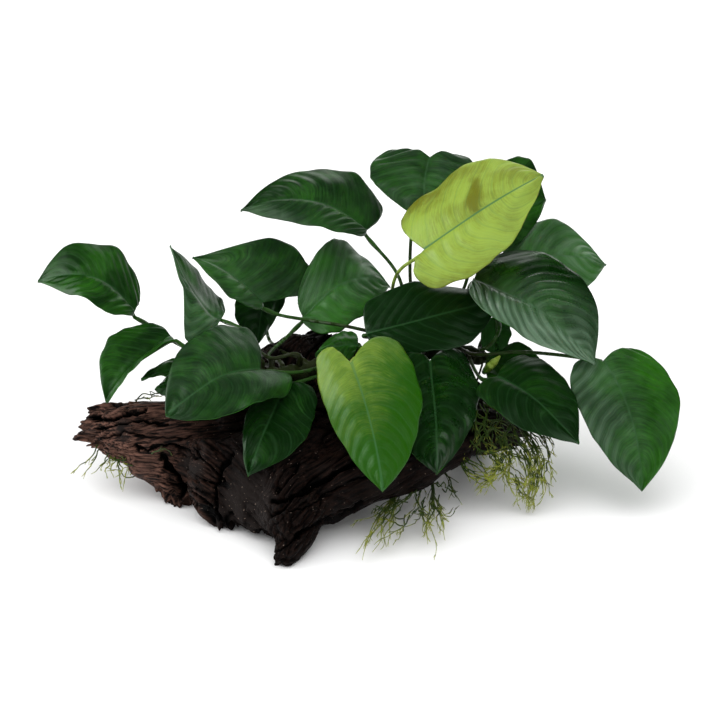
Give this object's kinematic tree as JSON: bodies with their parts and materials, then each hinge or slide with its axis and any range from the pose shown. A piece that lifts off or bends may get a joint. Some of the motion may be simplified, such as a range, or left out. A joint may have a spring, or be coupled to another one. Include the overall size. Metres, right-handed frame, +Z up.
{
  "type": "anubias on driftwood",
  "caption": "Water plant with broad heart-shaped leaves on long stalks, growing from a creeping rhizome on a gnarled branching piece of driftwood with hanging tufts of moss.",
  "frame": {"origin": "centre of the bounding box in plan, on the plane that the feet of the wood stand on", "axes": "+X to the right along the piece's length as seen from the front, +Y to the back, +Z up"},
  "size_m": [0.3241, 0.2003, 0.1523],
  "materials": {
    "driftwood": "dark wet wood, grooved along the grain, with rough splintered ends",
    "rhizome": "ringed olive-green skin with rusty roots",
    "leaf_green": "dark green waxy blade, quilted between its veins",
    "leaf_lime": "young yellow-green waxy blade with a blue-green midrib",
    "stalk": "smooth green stalk, browner near its foot",
    "moss": "thin branching strands, dark green with yellow-green tips"
  },
  "bodies": {
    "root": {"driftwood_body": "driftwood", "driftwood_left_limb": "driftwood", "driftwood_right_limb": "driftwood", "driftwood_front_foot": "driftwood", "driftwood_rear_limb": "driftwood", "rhizome": "rhizome", "leaf_far_left": "leaf_green", "stalk_far_left": "stalk", "leaf_low_left": "leaf_green", "stalk_low_left": "stalk", "leaf_narrow_left": "leaf_green", "stalk_narrow_left": "stalk", "leaf_upper_left": "leaf_green", "stalk_upper_left": "stalk", "leaf_behind_left": "leaf_green", "stalk_behind_left": "stalk", "leaf_mid_left": "leaf_green", "stalk_mid_left": "stalk", "leaf_front_left": "leaf_green", "stalk_front_left": "stalk", "leaf_small_left": "leaf_green", "stalk_small_left": "stalk", "leaf_tiny_left": "leaf_green", "stalk_tiny_left": "stalk", "leaf_front_low": "leaf_green", "stalk_front_low": "stalk", "leaf_inner": "leaf_green", "stalk_inner": "stalk", "leaf_front_lime": "leaf_lime", "stalk_front_lime": "stalk", "leaf_front_right": "leaf_green", "stalk_front_right": "stalk", "leaf_centre": "leaf_green", "stalk_centre": "stalk", "leaf_high_left": "leaf_green", "stalk_high_left": "stalk", "leaf_top": "leaf_green", "stalk_top": "stalk", "leaf_top_lime": "leaf_lime", "stalk_top_lime": "stalk", "leaf_behind_top": "leaf_green", "stalk_behind_top": "stalk", "leaf_back_right": "leaf_green", "stalk_back_right": "stalk", "leaf_wet_right": "leaf_green", "stalk_wet_right": "stalk", "leaf_small_right": "leaf_green", "stalk_small_right": "stalk", "leaf_under_right": "leaf_green", "stalk_under_right": "stalk", "leaf_low_right": "leaf_green", "stalk_low_right": "stalk", "leaf_far_right": "leaf_green", "stalk_far_right": "stalk", "young_leaf": "leaf_lime", "moss_left": "moss", "moss_top": "moss", "moss_front": "moss", "moss_right": "moss"}
  },
  "joints": []
}
